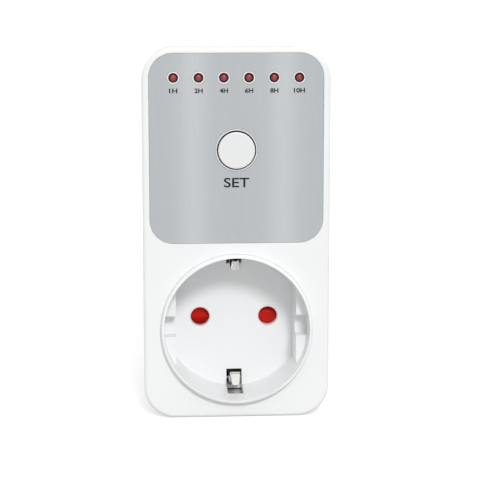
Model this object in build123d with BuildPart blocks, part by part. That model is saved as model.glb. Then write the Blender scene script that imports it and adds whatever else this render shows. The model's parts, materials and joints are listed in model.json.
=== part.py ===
from build123d import *
import os
from math import radians, tan

# Plug-in countdown timer switch with a side-earthed socket.  Sizes are in mm.
# The front faces -Y, +Z is up and the plug pins point to +Y.  The origin is the
# centre of the plug's engagement face, which lies on the socket's axis.  Every
# height is a distance in front of that face, so a height h lies at y = -h.

os.makedirs("parts", exist_ok=True)

# Body
body_width = 50.5
body_height = 101.0
body_depth = 37.0
corner_radius = 8.7
draft_angle = 2.5
wall = 2.0
front_wall = 2.2
front_edge_radius = 1.1
rear_edge_radius = 1.6
rear_shell_depth = 17.0
seam_tongue_height = 1.4
seam_tongue_inset = 1.1
seam_clearance = 0.1

# Plug base and pins
plug_diameter = 37.0
plug_height = 17.0
plug_plate = 2.6
plug_cavity_radius = 16.5
plug_edge_chamfer = 0.7
guide_groove_width = 6.0
guide_groove_bottom = 15.3
groove_wall = 1.6
pin_diameter = 4.8
pin_length = 19.0
pin_spacing = 19.0
pin_tip_radius = 1.6
pin_neck_radius = 2.0
pin_neck_height = 0.3
pin_fit = 0.02
pin_mouth_depth = 0.6

# Socket
socket_above_bottom = 24.9
well_diameter = 39.5
well_depth = 17.5
well_outer_radius = 21.4
floor_thickness = 2.3
lip_height = 2.3
lip_radius = 20.6
lip_round = 0.7
pin_hole_diameter = 5.3
pin_hole_chamfer = 0.3
shelf_half_gap = 16.45
shelf_depth = 5.5
notch_width = 5.8
notch_depth = 4.2
earth_slot_width = 4.3
earth_slot_inner = 15.1
earth_slot_front_depth = 7.8
cradle_inner_radius = 20.2

# Panel plate
panel_width = 46.6
panel_height = 51.0
panel_radius = 6.5
panel_from_top = 1.55
panel_thickness = 0.35
panel_recess = 0.4
panel_clearance = 0.1
collar_clearance = 0.05

# Lamps
led_names = ["led_1h", "led_2h", "led_4h", "led_6h", "led_8h", "led_10h"]
led_pitch = 6.7
led_from_top = 8.1
led_radius = 1.45
led_flange_radius = 1.9
led_hole_radius = 1.3
led_collar_radius = 1.65
led_lead_gap = 2.54
led_lead_width = 0.5
led_back = 48.0
led_flange = 1.0
led_pocket_gap = 0.15
led_web = 0.65

# Button and the switch behind it
button_from_top = 27.4
button_diameter = 9.95
button_hole_diameter = 10.45
button_collar_radius = 5.6
button_proud = 0.8
button_travel = 0.5
button_flange_radius = 6.2
button_flange = 0.9
button_wall = 1.3
button_round = 0.5
button_stem_radius = 1.8

# Earth clips
clip_width = 2.9
clip_thickness = 0.6
clip_root = 17.8
bow_width = 5.0
bow_thickness = 0.8

# Side of the blocks that trim a round outline
trim = 10.0

# Derived heights, in front of the plug's engagement face
body_back = plug_height
seam = body_back + rear_shell_depth
face = body_back + body_depth
rim = face + lip_height
floor = rim - well_depth
floor_back = floor - floor_thickness
cover_inside = face - front_wall
housing_inside = body_back + wall
plate_front = face - panel_recess + panel_thickness

# Derived places, as (x, z) across the front
body_bottom = -socket_above_bottom
body_top = body_bottom + body_height
body_middle = body_bottom + body_height / 2
panel_middle = body_top - panel_from_top - panel_height / 2
led_z = body_top - led_from_top
led_x = [(index - 2.5) * led_pitch for index in range(len(led_names))]
led_places = [(x, led_z) for x in led_x]
button_place = (0, body_top - button_from_top)
pin_places = [(-pin_spacing / 2, 0), (pin_spacing / 2, 0)]
well_radius = well_diameter / 2

# Housing screws: two below the socket and two between the socket and the panel
housing_screw_places = [(-18.6, -18.4), (18.6, -18.4), (-19.3, 24.5), (19.3, 24.5)]
post_radius = 3.3
boss_radius = 2.7
post_root = 0.5
screw_shank_radius = 1.3
screw_hole_radius = 1.6
screw_head_radius = 2.6
screw_head_height = 1.8
screw_head_seat = 27.0
screw_length = 15.0
screw_hole_depth = 12.5
thread_fit = 0.03
head_clearance = 0.2

# Boards
board_thickness = 1.6
control_board_front = 45.8
control_board_back = control_board_front - board_thickness
control_board_size = (42.0, 44.0)
control_board_middle = 50.2
power_board_back = 21.2
power_board_front = power_board_back + board_thickness
power_board_size = (42.0, 44.0)
power_board_middle = 50.2
board_corner = 4.0
board_screw_radius = 1.0
board_screw_head_radius = 1.9
board_screw_head_height = 1.3
board_hole_radius = 1.2
control_post_radius = 2.3
control_screw_length = 5.5
control_hole_depth = 5.0
power_post_radius = 2.6
power_screw_length = 4.5
power_hole_depth = 3.2
lead_hole = 0.9
header_hole = 1.0
control_screw_places = [(-17.5, 32.2), (17.5, 32.2)]
power_screw_places = [(-17.8, 69.0), (17.8, 32.0)]


def facing(height):
    """Plane square to the socket's axis, facing the front, at a height."""
    return Plane.XZ.offset(height)


def body_outline(height, inset=0.0, mode=Mode.ADD):
    """Outline of the drafted body at a height, set in from its outer surface."""
    shrink = (face - height) * tan(radians(draft_angle)) + inset
    with Locations((0, body_middle)):
        RectangleRounded(
            body_width - 2 * shrink,
            body_height - 2 * shrink,
            corner_radius - shrink,
            mode=mode,
        )


def panel_outline(clearance=0.0):
    """Outline of the silver plate, grown by a clearance."""
    with Locations((0, panel_middle)):
        RectangleRounded(
            panel_width + 2 * clearance,
            panel_height + 2 * clearance,
            panel_radius + clearance,
        )


def save(builder, name):
    """Label a finished piece and write it as its own file."""
    builder.part.label = name
    export_step(builder.part, f"parts/{name}.step")


# ---------------------------------------------------------------- front cover
with BuildPart() as front_cover:
    with BuildSketch(facing(seam)):
        body_outline(seam)
    extrude(amount=face - seam, taper=-draft_angle)
    fillet(front_cover.faces().sort_by(Axis.Y)[0].edges(), front_edge_radius)

    # Hollow, with a rebate for the rear shell's tongue
    with BuildSketch(facing(seam)):
        body_outline(seam, wall)
    extrude(amount=cover_inside - seam, taper=-draft_angle, mode=Mode.SUBTRACT)
    with BuildSketch(facing(seam)):
        body_outline(seam, seam_tongue_inset - seam_clearance)
    rebate_height = seam_tongue_height + 2 * seam_clearance
    extrude(amount=rebate_height, taper=-draft_angle, mode=Mode.SUBTRACT)

    # Recess for the plate, with collars that stand through it
    with BuildSketch(facing(face)):
        panel_outline(panel_clearance)
        with Locations(*led_places):
            Circle(led_collar_radius, mode=Mode.SUBTRACT)
        with Locations(button_place):
            Circle(button_collar_radius, mode=Mode.SUBTRACT)
    extrude(amount=-panel_recess, mode=Mode.SUBTRACT)

    # Screw bosses and the control board's posts, cast in one with the wall
    with BuildSketch(facing(seam)):
        with Locations(*housing_screw_places):
            Circle(boss_radius)
    extrude(amount=cover_inside + post_root - seam)
    with BuildSketch(facing(control_board_front)):
        with Locations(*control_screw_places):
            Circle(control_post_radius)
    extrude(amount=cover_inside + post_root - control_board_front)
    with BuildSketch(facing(seam)):
        with Locations(*housing_screw_places):
            Circle(screw_shank_radius + thread_fit)
    extrude(amount=screw_hole_depth, mode=Mode.SUBTRACT)
    with BuildSketch(facing(control_board_front)):
        with Locations(*control_screw_places):
            Circle(board_screw_radius + thread_fit)
    extrude(amount=control_hole_depth, mode=Mode.SUBTRACT)

    # Holes for the socket lip, the button and the lamps
    with BuildSketch(facing(face)):
        Circle(lip_radius + seam_clearance)
        with Locations(button_place):
            Circle(button_hole_diameter / 2)
        with Locations(*led_places):
            Circle(led_hole_radius)
    extrude(amount=-front_wall, mode=Mode.SUBTRACT)
    with BuildSketch(facing(cover_inside)):
        with Locations(*led_places):
            Circle(led_radius + led_pocket_gap)
    extrude(amount=front_wall - led_web, mode=Mode.SUBTRACT)
save(front_cover, "front_cover")

# ---------------------------------------------------------------- panel plate
with BuildPart() as panel_plate:
    with BuildSketch(facing(plate_front)):
        panel_outline()
        with Locations(*led_places):
            Circle(led_collar_radius + collar_clearance, mode=Mode.SUBTRACT)
        with Locations(button_place):
            Circle(button_collar_radius + collar_clearance, mode=Mode.SUBTRACT)
    extrude(amount=-panel_thickness)
save(panel_plate, "panel_plate")

# --------------------------------------------------------------- rear housing
cradle_top = seam - seam_clearance
strip_channel_height = 1.0
strip_channel_size = (7.6, 20.0)
strip_channel_places = [(-9.8, 15.0), (9.8, 15.0)]
earth_recess_width = 6.4
earth_recess_floor = 15.5
earth_recess_start = 1.2
earth_recess_end = 14.6
earth_strip_inner = 15.6
earth_strip_outer = 16.4
bow_slot_gap = 0.1

with BuildPart() as rear_housing:
    with BuildSketch(facing(body_back)):
        body_outline(body_back)
    extrude(amount=rear_shell_depth, taper=-draft_angle)
    back_face = rear_housing.faces().sort_by(Axis.Y)[-1]
    fillet(back_face.edges(), rear_edge_radius)
    with BuildSketch(facing(housing_inside)):
        body_outline(housing_inside, wall)
    extrude(amount=seam - housing_inside, taper=-draft_angle, mode=Mode.SUBTRACT)

    # Tongue that seats in the cover's rebate
    with BuildSketch(facing(seam)):
        body_outline(seam, seam_tongue_inset)
        body_outline(seam, wall, Mode.SUBTRACT)
    extrude(amount=seam_tongue_height)

    # Plug base
    with BuildSketch(facing(0)):
        Circle(plug_diameter / 2)
    extrude(amount=body_back)
    chamfer(rear_housing.faces().sort_by(Axis.Y)[-1].edges(), plug_edge_chamfer)

    # Screw posts, the socket's cradle and the power board's posts
    post_base = housing_inside - post_root
    with BuildSketch(facing(post_base)):
        with Locations(*housing_screw_places):
            Circle(post_radius)
    extrude(amount=seam - post_base)
    with BuildSketch(facing(post_base)):
        Circle(well_outer_radius)
        Circle(cradle_inner_radius, mode=Mode.SUBTRACT)
    extrude(amount=cradle_top - post_base)
    with BuildSketch(facing(post_base)):
        with Locations(*power_screw_places):
            Circle(power_post_radius)
    extrude(amount=power_board_back - post_base)

    # Cavity of the plug base, kept clear of the grooves and the earth recesses
    with BuildSketch(facing(plug_plate)):
        Circle(plug_cavity_radius)
        groove_block = guide_groove_bottom - groove_wall + trim / 2
        with Locations((-groove_block, 0), (groove_block, 0)):
            Rectangle(trim, guide_groove_width + 2 * groove_wall, mode=Mode.SUBTRACT)
        recess_block = earth_recess_floor - groove_wall + trim / 2
        with Locations((0, -recess_block), (0, recess_block)):
            Rectangle(earth_recess_width + 2 * groove_wall, trim, mode=Mode.SUBTRACT)
    extrude(amount=housing_inside - plug_plate, mode=Mode.SUBTRACT)

    # Guide grooves on both sides of the plug base
    with BuildSketch(facing(0)):
        groove_middle = guide_groove_bottom + trim / 2
        with Locations((-groove_middle, 0), (groove_middle, 0)):
            Rectangle(trim, guide_groove_width)
    extrude(amount=body_back, mode=Mode.SUBTRACT)

    # Recesses for the plug's earth faces, and the slots that let the bow through
    with BuildSketch(facing(earth_recess_start)):
        recess_middle = earth_recess_floor + trim / 2
        with Locations((0, -recess_middle), (0, recess_middle)):
            Rectangle(earth_recess_width, trim)
    extrude(amount=earth_recess_end - earth_recess_start, mode=Mode.SUBTRACT)
    bow_slot_middle = (earth_strip_inner + earth_strip_outer) / 2
    with BuildSketch(facing(earth_recess_end - bow_slot_gap)):
        with Locations((0, -bow_slot_middle), (0, bow_slot_middle)):
            Rectangle(bow_width + 3 * bow_slot_gap, bow_thickness + 2 * bow_slot_gap)
    extrude(amount=housing_inside + 2 * bow_slot_gap - earth_recess_end, mode=Mode.SUBTRACT)

    # Pin holes, strip channels under the cradle, and screw holes from behind
    with BuildSketch(facing(0)):
        with Locations(*pin_places):
            Circle(pin_neck_radius + pin_fit)
    extrude(amount=plug_plate, mode=Mode.SUBTRACT)
    with BuildSketch(facing(0)):
        with Locations(*pin_places):
            Circle(pin_diameter / 2 + pin_fit)
    extrude(amount=pin_mouth_depth, mode=Mode.SUBTRACT)
    with BuildSketch(facing(housing_inside)):
        with Locations(*strip_channel_places):
            Rectangle(*strip_channel_size)
    extrude(amount=strip_channel_height, mode=Mode.SUBTRACT)
    with BuildSketch(facing(body_back)):
        with Locations(*housing_screw_places):
            Circle(screw_hole_radius)
    extrude(amount=rear_shell_depth, mode=Mode.SUBTRACT)
    with BuildSketch(facing(body_back)):
        with Locations(*housing_screw_places):
            Circle(screw_head_radius + head_clearance)
    extrude(amount=screw_head_seat - body_back, mode=Mode.SUBTRACT)
    with BuildSketch(facing(power_board_back)):
        with Locations(*power_screw_places):
            Circle(board_screw_radius + thread_fit)
    extrude(amount=-power_hole_depth, mode=Mode.SUBTRACT)
save(rear_housing, "rear_housing")

# ---------------------------------------------------------------- socket well
with BuildPart() as socket_well:
    flange_front = cover_inside - seam_clearance
    with BuildSketch(facing(floor_back)):
        Circle(well_outer_radius)
    extrude(amount=flange_front - floor_back)
    with BuildSketch(facing(flange_front)):
        Circle(lip_radius)
    extrude(amount=rim - flange_front)
    lip_edge = socket_well.faces().sort_by(Axis.Y)[0].edges()
    fillet(lip_edge, lip_round)

    # The well, with a shelf left standing on each side and notched in the middle
    with BuildSketch(facing(floor)):
        Circle(well_radius)
        for side in (-1, 1):
            with Locations((side * (shelf_half_gap + trim / 2), 0)):
                Rectangle(trim, well_diameter, mode=Mode.SUBTRACT)
    extrude(amount=well_depth, mode=Mode.SUBTRACT)
    with BuildSketch(facing(rim)):
        Circle(well_radius)
    extrude(amount=-shelf_depth, mode=Mode.SUBTRACT)
    with BuildSketch(facing(rim - shelf_depth)):
        Circle(well_radius)
        Rectangle(2 * shelf_half_gap, well_diameter, mode=Mode.SUBTRACT)
        for side in (-1, 1):
            with Locations((0, side * (notch_width / 2 + trim))):
                Rectangle(well_diameter, 2 * trim, mode=Mode.SUBTRACT)
    extrude(amount=-notch_depth, mode=Mode.SUBTRACT)

    # Skirt that stands on the rear housing's cradle
    with BuildSketch(facing(seam)):
        Circle(well_outer_radius)
        Circle(cradle_inner_radius, mode=Mode.SUBTRACT)
    extrude(amount=floor_back - seam)

    # Earth slots, cut through the floor and up the wall
    with BuildSketch(facing(floor_back)):
        slot_length = well_outer_radius + 1 - earth_slot_inner
        for side in (-1, 1):
            with Locations((0, side * (earth_slot_inner + slot_length / 2))):
                Rectangle(earth_slot_width, slot_length)
    slot_top = rim - earth_slot_front_depth
    extrude(amount=slot_top - floor_back, mode=Mode.SUBTRACT)

    # Pin holes with a small lead-in
    with BuildSketch(facing(floor_back)):
        with Locations(*pin_places):
            Circle(pin_hole_diameter / 2)
    extrude(amount=floor_thickness, mode=Mode.SUBTRACT)
    hole_rims = socket_well.edges().filter_by(GeomType.CIRCLE)
    hole_rims = hole_rims.filter_by(lambda edge: abs(edge.radius - pin_hole_diameter / 2) < 0.01)
    front_rims = hole_rims.filter_by(lambda edge: abs(edge.center().Y + floor) < 0.01)
    chamfer(front_rims, pin_hole_chamfer)
save(socket_well, "socket_well")

# ------------------------------------------------------------ contact carrier
tail_x = 7.3
carrier_half_width = 17.4
carrier_half_height = 8.0
carrier_corner = 2.0
carrier_front = seam + 0.2
carrier_arm_back = 24.6
carrier_arm_half_width = 3.8
carrier_gap = 0.15
chamber_size = (7.6, 10.6)
bow_groove = 2.2
bow_groove_side_gap = 0.2
tail_groove = 1.0
tail_groove_size = (2.8, 4.0)
tail_groove_middle = 6.5
pocket_inner = 16.9
pocket_outer = 19.4
pocket_width = 5.6
spring_recess = 2.0
spring_recess_radius = 3.2
shutter_post_radius = 1.5
shutter_back = carrier_front + 0.3
shutter_thickness = 1.7

with BuildPart() as contact_carrier:
    with BuildSketch(facing(housing_inside)):
        RectangleRounded(2 * carrier_half_width, 2 * carrier_half_height, carrier_corner)
    extrude(amount=carrier_front - housing_inside)

    # Arms that reach up and down to the earth clips
    with BuildSketch(facing(carrier_arm_back)):
        Circle(cradle_inner_radius - carrier_gap)
        for side in (-1, 1):
            with Locations((side * (carrier_arm_half_width + trim), 0)):
                Rectangle(2 * trim, 2 * well_diameter, mode=Mode.SUBTRACT)
    extrude(amount=carrier_front - carrier_arm_back)
    with BuildSketch(facing(carrier_arm_back)):
        for side in (-1, 1):
            with Locations((0, side * (pocket_inner + pocket_outer) / 2)):
                Rectangle(pocket_width, pocket_outer - pocket_inner)
    extrude(amount=carrier_front - carrier_arm_back, mode=Mode.SUBTRACT)

    # Chambers round the contacts, and the groove over the earth bow's bridge
    with BuildSketch(facing(housing_inside)):
        with Locations(*pin_places):
            Rectangle(*chamber_size)
    extrude(amount=carrier_front - housing_inside, mode=Mode.SUBTRACT)
    with BuildSketch(facing(housing_inside)):
        Rectangle(bow_width + 2 * bow_groove_side_gap, 2 * carrier_half_height)
    extrude(amount=bow_groove, mode=Mode.SUBTRACT)
    with BuildSketch(facing(housing_inside)):
        with Locations((-tail_x, tail_groove_middle), (tail_x, tail_groove_middle)):
            Rectangle(*tail_groove_size)
    extrude(amount=tail_groove, mode=Mode.SUBTRACT)

    # Post for the shutter, in a recess for the return spring
    with BuildSketch(facing(carrier_front)):
        Circle(spring_recess_radius)
    extrude(amount=-spring_recess, mode=Mode.SUBTRACT)
    with BuildSketch(facing(carrier_front - spring_recess)):
        Circle(shutter_post_radius)
    extrude(amount=floor_back - carrier_gap - carrier_front + spring_recess)
save(contact_carrier, "contact_carrier")

# -------------------------------------------------------------------- shutter
shutter_hub_radius = 3.6
shutter_pad_radius = 3.3
shutter_arm_width = 4.2
shutter_fit = 0.08
ramp_start = 0.6
ramp_end = 3.6
ramp_foot = 0.5
ramp_half_width = 4.0

with BuildPart() as shutter:
    with BuildSketch(facing(shutter_back)):
        Circle(shutter_hub_radius)
        Rectangle(pin_spacing, shutter_arm_width)
        with Locations(*pin_places):
            Circle(shutter_pad_radius)
        Circle(shutter_post_radius + shutter_fit, mode=Mode.SUBTRACT)
    extrude(amount=shutter_thickness)
    # A ramp on each pad turns the push of the pins into rotation
    shutter_front = shutter_back + shutter_thickness
    for side in (-1, 1):
        with BuildSketch(Plane.YZ.offset(side * pin_spacing / 2)):
            with BuildLine():
                Polyline(
                    (-shutter_front, side * ramp_start),
                    (-shutter_front, side * ramp_end),
                    (-shutter_back - ramp_foot, side * ramp_end),
                    close=True,
                )
            make_face()
        extrude(amount=ramp_half_width, both=True, mode=Mode.SUBTRACT)
save(shutter, "shutter")

# ------------------------------------------------------------- shutter spring
spring_wire_radius = 0.19
spring_wire_sides = 6
spring_radius = 2.35
spring_pitch = 0.6
spring_coils = 2
spring_lift = 0.4
spring_back = carrier_front - spring_recess + spring_lift

with BuildPart() as shutter_spring:
    with BuildLine():
        coil = Helix(
            pitch=spring_pitch,
            height=spring_pitch * spring_coils,
            radius=spring_radius,
            center=(0, -spring_back, 0),
            direction=(0, -1, 0),
        )
    with BuildSketch(Plane(origin=coil @ 0, z_dir=coil % 0)):
        RegularPolygon(spring_wire_radius, spring_wire_sides)
    sweep(path=coil, is_frenet=True)
save(shutter_spring, "shutter_spring")

# ------------------------------------------------------------ socket contacts
contact_width = 6.0
contact_thickness = 0.6
contact_base = housing_inside + contact_thickness / 2
contact_half_height = 4.2
contact_pinch = 2.6
contact_mouth = 4.0
contact_tip = 33.2
contact_throat = 30.4
contact_shoulder = 24.5
contact_bend = 0.6
tail_start = 2.7
tail_width = 2.3
tab_z = 29.6
tab_proud = 1.4
tab_front = power_board_front + tab_proud


def fork_profile():
    """Fork seen from the side: two leaves that pinch a pin, joined by a base."""
    half = [
        (-contact_tip, contact_mouth),
        (-contact_throat, contact_pinch),
        (-contact_shoulder, contact_half_height),
        (-contact_base, contact_half_height),
    ]
    mirrored = [(y, -z) for y, z in reversed(half)]
    FilletPolyline(*half, *mirrored, radius=contact_bend)


def socket_contact(side):
    """Fork contact for one pin, with a tail that rises to the power board."""
    with BuildPart() as contact:
        with BuildSketch(Plane.YZ.offset(side * pin_spacing / 2)):
            with BuildLine():
                fork_profile()
            trace(line_width=contact_thickness)
        extrude(amount=contact_width / 2, both=True)
        with BuildSketch(Plane.YZ.offset(side * tail_x)):
            with BuildLine():
                FilletPolyline(
                    (-contact_base, tail_start),
                    (-contact_base, tab_z),
                    (-tab_front, tab_z),
                    radius=contact_bend,
                )
            trace(line_width=contact_thickness)
        extrude(amount=tail_width / 2, both=True)
    return contact


save(socket_contact(1), "live_contact")
save(socket_contact(-1), "neutral_contact")

# ------------------------------------------------- plug pins and their strips
pin_shoulder_radius = 3.4
pin_shoulder_height = 1.6
pin_tail_radius = 1.6
eye_back = 6.4
eye_radius = 2.9
feed_thickness = 0.8
feed_bend = 0.8
feed_x = 11.3
feed_width = 2.8
feed_rise = 9.6
rivet_proud = 0.5


def plug_pin(side):
    """Turned pin with a shoulder behind the plate and a tail riveted to its strip."""
    x = side * pin_spacing / 2
    radius = pin_diameter / 2
    rivet_end = eye_back + feed_thickness + rivet_proud
    with BuildPart() as pin:
        with BuildSketch(Plane.XY):
            with BuildLine():
                Line((x, pin_length), (x + radius - pin_tip_radius, pin_length))
                RadiusArc(
                    (x + radius - pin_tip_radius, pin_length),
                    (x + radius, pin_length - pin_tip_radius),
                    pin_tip_radius,
                )
                Polyline(
                    (x + radius, pin_length - pin_tip_radius),
                    (x + radius, pin_neck_height),
                    (x + pin_neck_radius, pin_neck_height),
                    (x + pin_neck_radius, -plug_plate),
                    (x + pin_shoulder_radius, -plug_plate),
                    (x + pin_shoulder_radius, -plug_plate - pin_shoulder_height),
                    (x + pin_neck_radius, -plug_plate - pin_shoulder_height),
                    (x + pin_neck_radius, -eye_back),
                    (x + pin_tail_radius, -eye_back),
                    (x + pin_tail_radius, -rivet_end),
                    (x, -rivet_end),
                    (x, pin_length),
                )
            make_face()
        revolve(axis=Axis((x, 0, 0), (0, 1, 0)))
    return pin


def feed_strip(side):
    """Strip from a plug pin's tail, out of the plug base and up to the power board."""
    middle = eye_back + feed_thickness / 2
    shelf = housing_inside + feed_thickness / 2
    with BuildPart() as strip:
        with BuildSketch(facing(eye_back)):
            with Locations((side * pin_spacing / 2, 0)):
                Circle(eye_radius)
        extrude(amount=feed_thickness)
        with BuildSketch(Plane.YZ.offset(side * feed_x)):
            with BuildLine():
                FilletPolyline(
                    (-middle, 0),
                    (-middle, feed_rise),
                    (-shelf, feed_rise),
                    (-shelf, tab_z),
                    (-tab_front, tab_z),
                    radius=feed_bend,
                )
            trace(line_width=feed_thickness)
        extrude(amount=feed_width / 2, both=True)
        with BuildSketch(facing(eye_back)):
            with Locations((side * pin_spacing / 2, 0)):
                Circle(pin_tail_radius + pin_fit)
        extrude(amount=feed_thickness, mode=Mode.SUBTRACT)
    return strip


save(plug_pin(1), "live_pin")
save(plug_pin(-1), "neutral_pin")
save(feed_strip(1), "live_feed_strip")
save(feed_strip(-1), "neutral_feed_strip")

# ------------------------------------------------------------------ earth bow
bow_bridge = housing_inside + bow_thickness
bow_lower_bend = bow_bridge + 2.0
bow_upper_bend = bow_bridge + 4.8
bow_outer = 18.9
bow_front = 33.6
bow_bend = 0.8
bow_foot = earth_recess_start + 0.3

with BuildPart() as earth_bow:
    for side in (-1, 1):
        with BuildSketch(Plane.YZ):
            with BuildLine():
                FilletPolyline(
                    (-bow_foot, side * bow_slot_middle),
                    (-bow_lower_bend, side * bow_slot_middle),
                    (-bow_upper_bend, side * bow_outer),
                    (-bow_front, side * bow_outer),
                    radius=bow_bend,
                )
            trace(line_width=bow_thickness)
        extrude(amount=bow_width / 2, both=True)
    with BuildSketch(facing(bow_bridge - bow_thickness / 2)):
        Rectangle(bow_width, 2 * bow_slot_middle)
    extrude(amount=bow_thickness)
save(earth_bow, "earth_bow")

# ---------------------------------------------------------------- earth clips
clip_root_back = 29.5
clip_bend = 35.0
clip_bulge = 15.3
clip_bulge_height = 42.6
clip_curl_height = 45.6
clip_curl = 15.4
clip_tip_height = 47.2
clip_tip = 17.5
clip_bends = (2.0, 4.0, 1.2)


def earth_clip(side):
    """Sprung strip that rises through the floor, bows inwards and curls back."""
    with BuildPart() as clip:
        with BuildSketch(Plane.YZ):
            with BuildLine():
                FilletPolyline(
                    (-clip_root_back, side * clip_root),
                    (-clip_bend, side * clip_root),
                    (-clip_bulge_height, side * clip_bulge),
                    (-clip_curl_height, side * clip_curl),
                    (-clip_tip_height, side * clip_tip),
                    radius=clip_bends,
                )
            trace(line_width=clip_thickness)
        extrude(amount=clip_width / 2, both=True)
    return clip


save(earth_clip(1), "upper_earth_clip")
save(earth_clip(-1), "lower_earth_clip")

# ----------------------------------------------------------------- set button
button_front = face + button_proud
flange_gap = 0.3
button_back = cover_inside - flange_gap - button_flange

with BuildPart() as set_button:
    with BuildSketch(facing(button_back)):
        with Locations(button_place):
            Circle(button_flange_radius)
    extrude(amount=button_flange)
    with BuildSketch(facing(button_back)):
        with Locations(button_place):
            Circle(button_diameter / 2)
    extrude(amount=button_front - button_back)
    fillet(set_button.faces().sort_by(Axis.Y)[0].edges(), button_round)
    # Hollow behind the face, round a stem that bears on the plunger
    with BuildSketch(facing(button_back)):
        with Locations(button_place):
            Circle(button_diameter / 2 - button_wall)
            Circle(button_stem_radius, mode=Mode.SUBTRACT)
    extrude(amount=button_front - button_wall - button_back, mode=Mode.SUBTRACT)
save(set_button, "set_button")

# ----------------------------------------------------------------- key switch
switch_side = 6.0
switch_height = 3.5
switch_top = control_board_front + switch_height
switch_corner = 0.5
plunger_radius = 1.7
plunger_gap = 0.08
plunger_foot = 0.9
plunger_spare = 0.2
switch_foot_size = (1.2, 0.7)
switch_foot_pitch = (7.0, 4.5)
switch_foot_height = 0.4

with BuildPart() as switch_body:
    with BuildSketch(facing(control_board_front)):
        with Locations(button_place):
            RectangleRounded(switch_side, switch_side, switch_corner)
    extrude(amount=switch_height)
    with BuildSketch(facing(switch_top)):
        with Locations(button_place):
            Circle(plunger_radius + plunger_gap)
    extrude(amount=-plunger_foot - button_travel - plunger_spare, mode=Mode.SUBTRACT)
    # Four soldered feet
    with BuildSketch(facing(control_board_front)):
        with Locations(button_place):
            with GridLocations(*switch_foot_pitch, 2, 2):
                Rectangle(*switch_foot_size)
    extrude(amount=switch_foot_height)
save(switch_body, "switch_body")

with BuildPart() as switch_plunger:
    with BuildSketch(facing(switch_top - plunger_foot)):
        with Locations(button_place):
            Circle(plunger_radius)
    extrude(amount=button_back - switch_top + plunger_foot)
save(switch_plunger, "switch_plunger")

# ---------------------------------------------------------------------- lamps
dome_proud = 0.1
dome_centre = face + dome_proud - led_radius
lead_proud = 1.0
spacer_depth = 5.0
spacer_corner = 1.0


def lamp(x):
    """Round lamp with a domed top, a flange and two leads."""
    with BuildPart() as led:
        with BuildSketch(Plane.XY.offset(led_z)):
            with BuildLine():
                Polyline(
                    (x, -led_back),
                    (x + led_flange_radius, -led_back),
                    (x + led_flange_radius, -led_back - led_flange),
                    (x + led_radius, -led_back - led_flange),
                    (x + led_radius, -dome_centre),
                )
                RadiusArc(
                    (x + led_radius, -dome_centre),
                    (x, -dome_centre - led_radius),
                    led_radius,
                )
                Line((x, -dome_centre - led_radius), (x, -led_back))
            make_face()
        revolve(axis=Axis((x, 0, led_z), (0, 1, 0)))
        with BuildSketch(facing(led_back)):
            with Locations((x, led_z)):
                with GridLocations(led_lead_gap, 1, 2, 1):
                    Rectangle(led_lead_width, led_lead_width)
        extrude(amount=control_board_back - lead_proud - led_back)
    return led


for led_name, x in zip(led_names, led_x):
    save(lamp(x), led_name)

with BuildPart() as led_spacer:
    with BuildSketch(facing(control_board_front)):
        with Locations((0, led_z)):
            RectangleRounded(len(led_names) * led_pitch, spacer_depth, spacer_corner)
        with Locations(*led_places):
            with GridLocations(led_lead_gap, 1, 2, 1):
                Rectangle(lead_hole, lead_hole, mode=Mode.SUBTRACT)
    extrude(amount=led_back - control_board_front)
save(led_spacer, "led_spacer")

# -------------------------------------------------------------- control board
header_place = (18.7, 50.0)
header_pitch = 2.54
header_count = 4
header_pin = 0.64

with BuildPart() as control_board:
    with BuildSketch(facing(control_board_back)):
        with Locations((0, control_board_middle)):
            RectangleRounded(*control_board_size, board_corner)
        with Locations(*control_screw_places):
            Circle(board_hole_radius, mode=Mode.SUBTRACT)
        with Locations(*led_places):
            with GridLocations(led_lead_gap, 1, 2, 1):
                Rectangle(lead_hole, lead_hole, mode=Mode.SUBTRACT)
        with Locations(header_place):
            with GridLocations(1, header_pitch, 1, header_count):
                Rectangle(header_hole, header_hole, mode=Mode.SUBTRACT)
    extrude(amount=board_thickness)
save(control_board, "control_board")

chip_place = (-4.0, 44.0)
chip_size = (3.9, 9.9)
chip_height = 1.5
chip_corner = 0.2
chip_leg_size = (1.1, 0.42)
chip_leg_pitch = (4.9, 1.27)
chip_leg_rows = 8
chip_leg_height = 0.7
with BuildPart() as timer_chip:
    with BuildSketch(facing(control_board_back)):
        with Locations(chip_place):
            Rectangle(*chip_size)
    extrude(amount=-chip_height)
    chamfer(timer_chip.edges().filter_by(Axis.Y), chip_corner)
    with BuildSketch(facing(control_board_back)):
        with Locations(chip_place):
            with GridLocations(*chip_leg_pitch, 2, chip_leg_rows):
                Rectangle(*chip_leg_size)
    extrude(amount=-chip_leg_height)
save(timer_chip, "timer_chip")

crystal_place = (8.0, 44.0)
crystal_size = (11.2, 4.7)
crystal_height = 3.5
crystal_edge = 0.5
with BuildPart() as clock_crystal:
    with BuildSketch(facing(control_board_back)):
        with Locations(crystal_place):
            SlotOverall(*crystal_size)
    extrude(amount=-crystal_height)
    chamfer(clock_crystal.faces().sort_by(Axis.Y)[-1].edges(), crystal_edge)
save(clock_crystal, "clock_crystal")

header_pin_proud = (1.4, 1.2)
with BuildPart() as board_header:
    with BuildSketch(facing(power_board_front)):
        with Locations(header_place):
            Rectangle(header_pitch, header_count * header_pitch)
    extrude(amount=header_pitch)
    header_pin_back = power_board_back - header_pin_proud[0]
    with BuildSketch(facing(header_pin_back)):
        with Locations(header_place):
            with GridLocations(1, header_pitch, 1, header_count):
                Rectangle(header_pin, header_pin)
    extrude(amount=control_board_front + header_pin_proud[1] - header_pin_back)
save(board_header, "board_header")

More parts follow.
